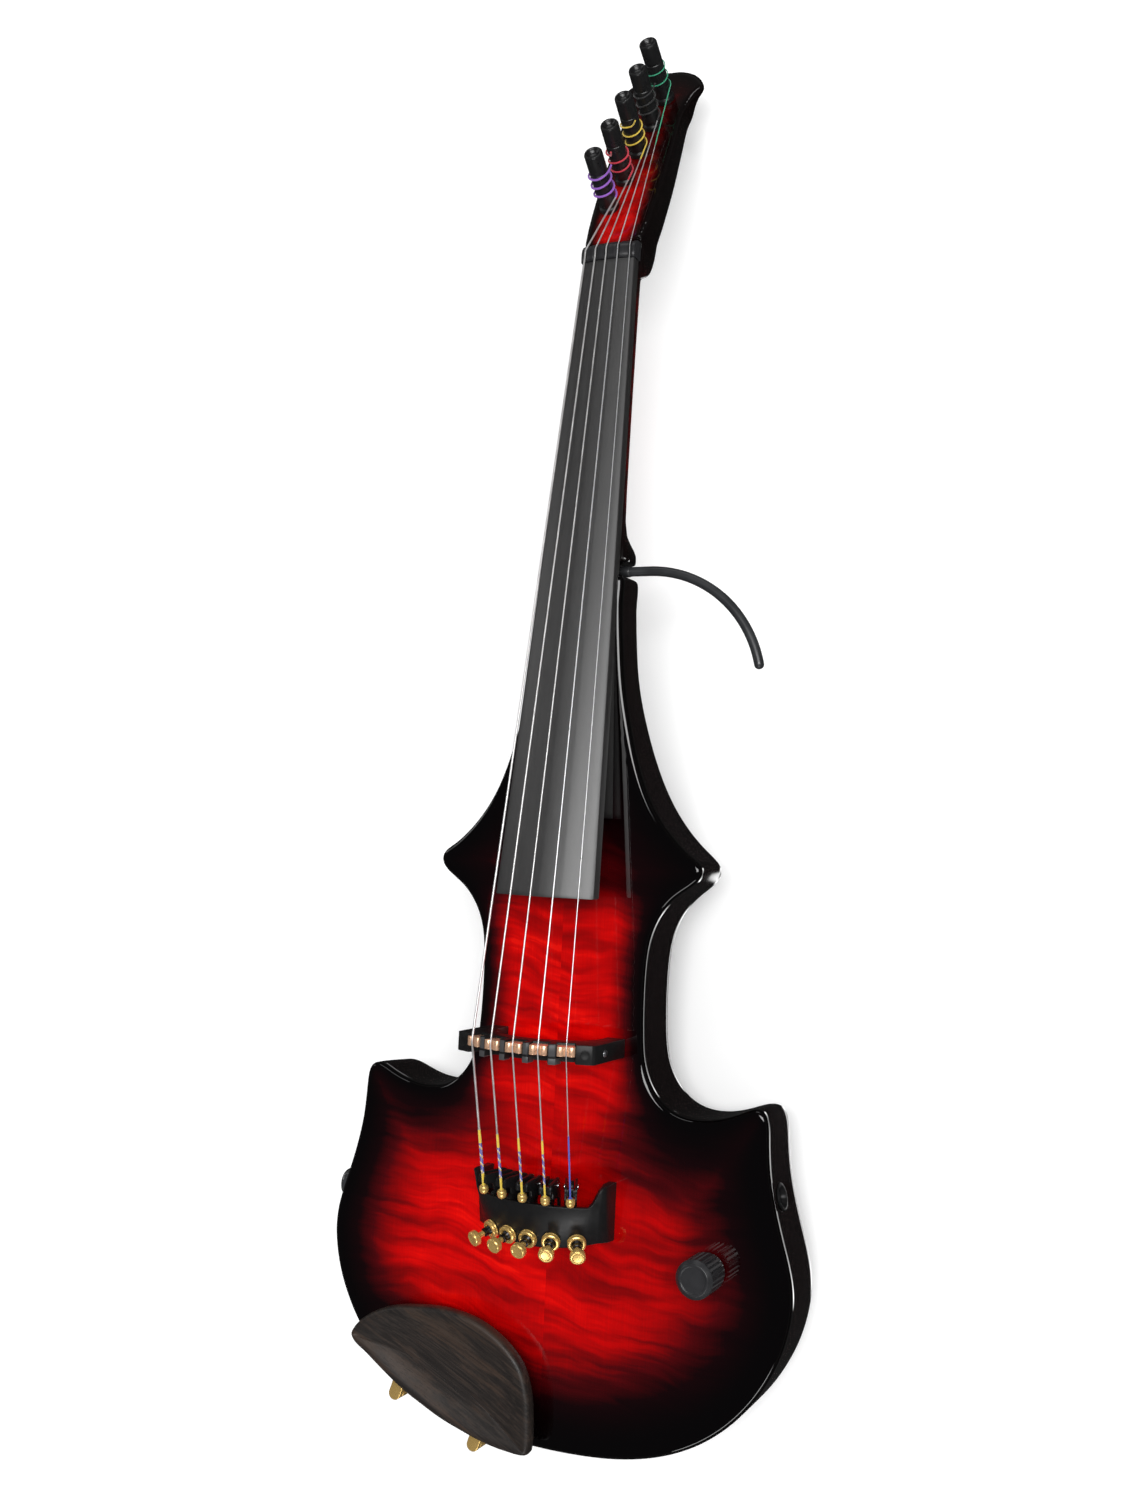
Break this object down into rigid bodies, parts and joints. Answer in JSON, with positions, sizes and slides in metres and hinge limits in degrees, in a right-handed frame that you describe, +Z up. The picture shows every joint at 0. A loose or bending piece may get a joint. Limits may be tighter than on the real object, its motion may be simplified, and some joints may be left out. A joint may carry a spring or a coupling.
{
  "type": "five-string electric violin",
  "caption": "Solid-body electric violin with raked head, geared pegs, arched bridge and tailpiece with fine tuners, volume knob, output jack, clamped chin rest and curved shoulder rod.",
  "frame": {"origin": "middle of the bottom face of the bounding box, on the surface the instrument lies on", "axes": "+Y along the strings towards the head, +X towards the treble side, +Z up out of the instrument's face as it lies on its back"},
  "size_m": [0.2056, 0.6078, 0.0899],
  "materials": {
    "black_lacquer": "gloss black lacquer over maple",
    "red_burst": "gloss transparent red over figured maple, black burst edge",
    "neck_finish": "gloss dark red to black over maple",
    "ebony": "satin ebony",
    "nut_black": "satin black",
    "black_metal": "satin black coated metal",
    "string_steel": "wound steel",
    "bridge_composite": "satin dark grey composite",
    "copper": "polished copper-coloured metal",
    "gold": "gold plated",
    "screw_steel": "black steel",
    "knob_black": "satin black anodised",
    "pot_steel": "plain steel",
    "chrome": "polished",
    "cover_plastic": "satin black",
    "wire_pvc": "black PVC insulation",
    "chinrest_ebony": "satin ebony with brown streaks",
    "rod_black": "satin black coated steel"
  },
  "bodies": {
    "violin": {"body_core": "black_lacquer", "top_plate": "red_burst", "neck": "neck_finish", "fingerboard": "ebony", "board_riser": "ebony", "nut": "nut_black", "bridge": "bridge_composite", "tailpiece": "black_metal", "height_screw_bass": "screw_steel", "height_screw_treble": "screw_steel", "potentiometer": "pot_steel", "output_jack": "chrome", "control_cover": "cover_plastic", "cover_screw_1": "screw_steel", "cover_screw_2": "screw_steel", "wire_pickup": "wire_pvc", "wire_output": "wire_pvc", "chinrest_plate": "chinrest_ebony", "chinrest_clamp_upper": "gold", "shoulder_rod": "rod_black", "string_1": "string_steel", "saddle_1": "copper", "tuner_ring_1": "gold", "string_2": "string_steel", "saddle_2": "copper", "tuner_ring_2": "gold", "string_3": "string_steel", "saddle_3": "copper", "tuner_ring_3": "gold", "string_4": "string_steel", "saddle_4": "copper", "tuner_ring_4": "gold", "string_5": "string_steel", "saddle_5": "copper", "tuner_ring_5": "gold"},
    "peg_1_body": {"peg_1": "black_metal"},
    "peg_2_body": {"peg_2": "black_metal"},
    "peg_3_body": {"peg_3": "black_metal"},
    "peg_4_body": {"peg_4": "black_metal"},
    "peg_5_body": {"peg_5": "black_metal"},
    "tuner_1_screw": {"tuner_screw_1": "screw_steel"},
    "tuner_1_head": {"tuner_head_1": "gold"},
    "tuner_1_lever": {"tuner_lever_1": "black_metal"},
    "tuner_2_screw": {"tuner_screw_2": "screw_steel"},
    "tuner_2_head": {"tuner_head_2": "gold"},
    "tuner_2_lever": {"tuner_lever_2": "black_metal"},
    "tuner_3_screw": {"tuner_screw_3": "screw_steel"},
    "tuner_3_head": {"tuner_head_3": "gold"},
    "tuner_3_lever": {"tuner_lever_3": "black_metal"},
    "tuner_4_screw": {"tuner_screw_4": "screw_steel"},
    "tuner_4_head": {"tuner_head_4": "gold"},
    "tuner_4_lever": {"tuner_lever_4": "black_metal"},
    "tuner_5_screw": {"tuner_screw_5": "screw_steel"},
    "tuner_5_head": {"tuner_head_5": "gold"},
    "tuner_5_lever": {"tuner_lever_5": "black_metal"},
    "volume_control": {"volume_knob": "knob_black", "pot_shaft": "pot_steel"},
    "clamp_barrel_1": {"chinrest_barrel_1": "gold"},
    "clamp_barrel_2": {"chinrest_barrel_2": "gold"},
    "clamp_foot": {"chinrest_clamp_lower": "gold"}
  },
  "joints": [
    {"name": "peg_1_turn", "type": "hinge", "parent": "violin", "child": "peg_1_body", "pos_m": [-0.00555, 0.22194, 0.05247], "axis": [0.1045, 0.379, 0.9195], "range_deg": [-90, 90]},
    {"name": "peg_2_turn", "type": "hinge", "parent": "violin", "child": "peg_2_body", "pos_m": [-0.00235, 0.23784, 0.04592], "axis": [0.1045, 0.379, 0.9195], "range_deg": [-90, 90]},
    {"name": "peg_3_turn", "type": "hinge", "parent": "violin", "child": "peg_3_body", "pos_m": [0.00025, 0.25374, 0.03936], "axis": [0.0958, 0.3793, 0.9203], "range_deg": [-90, 90]},
    {"name": "peg_4_turn", "type": "hinge", "parent": "violin", "child": "peg_4_body", "pos_m": [0.00295, 0.26964, 0.03281], "axis": [0.0872, 0.3796, 0.921], "range_deg": [-90, 90]},
    {"name": "peg_5_turn", "type": "hinge", "parent": "violin", "child": "peg_5_body", "pos_m": [0.00495, 0.28555, 0.02625], "axis": [0.0523, 0.3805, 0.9233], "range_deg": [-90, 90]},
    {"name": "tuner_1_travel", "type": "slide", "parent": "violin", "child": "tuner_1_screw", "axis": [-0.452, -0.4227, 0.7855], "range_m": [-0.0015, 0.001]},
    {"name": "tuner_1_turn", "type": "hinge", "parent": "tuner_1_screw", "child": "tuner_1_head", "pos_m": [-0.01758, -0.21112, 0.05645], "axis": [-0.452, -0.4227, 0.7855], "range_deg": [-1081, 721]},
    {"name": "tuner_1_lever_tilt", "type": "hinge", "parent": "violin", "child": "tuner_1_lever", "pos_m": [-0.01368, -0.19051, 0.05709], "axis": [0.9092, -0.0334, 0.4149], "range_deg": [-3.29, 4.86], "deforming": ["string_1"]},
    {"name": "tuner_2_travel", "type": "slide", "parent": "violin", "child": "tuner_2_screw", "axis": [-0.226, -0.4299, 0.8741], "range_m": [-0.0015, 0.001]},
    {"name": "tuner_2_turn", "type": "hinge", "parent": "tuner_2_screw", "child": "tuner_2_head", "pos_m": [-0.00831, -0.21142, 0.06009], "axis": [-0.226, -0.4299, 0.8741], "range_deg": [-1081, 721]},
    {"name": "tuner_2_lever_tilt", "type": "hinge", "parent": "violin", "child": "tuner_2_lever", "pos_m": [-0.00631, -0.19067, 0.05914], "axis": [0.977, -0.0171, 0.2123], "range_deg": [-3.31, 4.88], "deforming": ["string_2"]},
    {"name": "tuner_3_travel", "type": "slide", "parent": "violin", "child": "tuner_3_screw", "axis": [0, -0.4321, 0.9018], "range_m": [-0.0015, 0.001]},
    {"name": "tuner_3_turn", "type": "hinge", "parent": "tuner_3_screw", "child": "tuner_3_head", "pos_m": [0.00095, -0.21151, 0.06122], "axis": [0, -0.4321, 0.9018], "range_deg": [-1081, 721]},
    {"name": "tuner_3_lever_tilt", "type": "hinge", "parent": "violin", "child": "tuner_3_lever", "pos_m": [0.00095, -0.19073, 0.05982], "axis": [1, 0, 0], "range_deg": [-3.31, 4.89], "deforming": ["string_3"]},
    {"name": "tuner_4_travel", "type": "slide", "parent": "violin", "child": "tuner_4_screw", "axis": [0.226, -0.4299, 0.8741], "range_m": [-0.0015, 0.001]},
    {"name": "tuner_4_turn", "type": "hinge", "parent": "tuner_4_screw", "child": "tuner_4_head", "pos_m": [0.01022, -0.21142, 0.06009], "axis": [0.226, -0.4299, 0.8741], "range_deg": [-1081, 721]},
    {"name": "tuner_4_lever_tilt", "type": "hinge", "parent": "violin", "child": "tuner_4_lever", "pos_m": [0.00821, -0.19067, 0.05914], "axis": [0.977, 0.0171, -0.2123], "range_deg": [-3.31, 4.88], "deforming": ["string_4"]},
    {"name": "tuner_5_travel", "type": "slide", "parent": "violin", "child": "tuner_5_screw", "axis": [0.452, -0.4227, 0.7855], "range_m": [-0.0015, 0.001]},
    {"name": "tuner_5_turn", "type": "hinge", "parent": "tuner_5_screw", "child": "tuner_5_head", "pos_m": [0.01948, -0.21112, 0.05645], "axis": [0.452, -0.4227, 0.7855], "range_deg": [-1081, 721]},
    {"name": "tuner_5_lever_tilt", "type": "hinge", "parent": "violin", "child": "tuner_5_lever", "pos_m": [0.01558, -0.19051, 0.05709], "axis": [0.9092, 0.0334, -0.4149], "range_deg": [-3.29, 4.86], "deforming": ["string_5"]},
    {"name": "volume_turn", "type": "hinge", "parent": "violin", "child": "volume_control", "pos_m": [0.06985, -0.21551, 0.04358], "axis": [0, -0.0802, 0.9968], "range_deg": [-150, 150]},
    {"name": "clamp_barrel_1_turn", "type": "hinge", "parent": "violin", "child": "clamp_barrel_1", "pos_m": [-0.06505, -0.28708, 0.03782], "axis": [0, -0.0802, 0.9968], "range_deg": [0, 1441]},
    {"name": "clamp_barrel_2_turn", "type": "hinge", "parent": "violin", "child": "clamp_barrel_2", "pos_m": [-0.02705, -0.30003, 0.03678], "axis": [0, -0.0802, 0.9968], "range_deg": [0, 1441]},
    {"name": "clamp_foot_travel", "type": "slide", "parent": "violin", "child": "clamp_foot", "axis": [0, 0.0802, -0.9968], "range_m": [0, 0.0032]}
  ],
  "couplings": [
    {"joint": "tuner_1_turn", "follows": "tuner_1_travel", "rad_per_m": 12566},
    {"joint": "tuner_1_lever_tilt", "follows": "tuner_1_travel", "rad_per_m": -54.753},
    {"joint": "tuner_2_turn", "follows": "tuner_2_travel", "rad_per_m": 12566},
    {"joint": "tuner_2_lever_tilt", "follows": "tuner_2_travel", "rad_per_m": -55.077},
    {"joint": "tuner_3_turn", "follows": "tuner_3_travel", "rad_per_m": 12566},
    {"joint": "tuner_3_lever_tilt", "follows": "tuner_3_travel", "rad_per_m": -55.151},
    {"joint": "tuner_4_turn", "follows": "tuner_4_travel", "rad_per_m": 12566},
    {"joint": "tuner_4_lever_tilt", "follows": "tuner_4_travel", "rad_per_m": -55.077},
    {"joint": "tuner_5_turn", "follows": "tuner_5_travel", "rad_per_m": 12566},
    {"joint": "tuner_5_lever_tilt", "follows": "tuner_5_travel", "rad_per_m": -54.753},
    {"joint": "clamp_barrel_1_turn", "follows": "clamp_foot_travel", "rad_per_m": 7854},
    {"joint": "clamp_barrel_2_turn", "follows": "clamp_foot_travel", "rad_per_m": 7854}
  ]
}
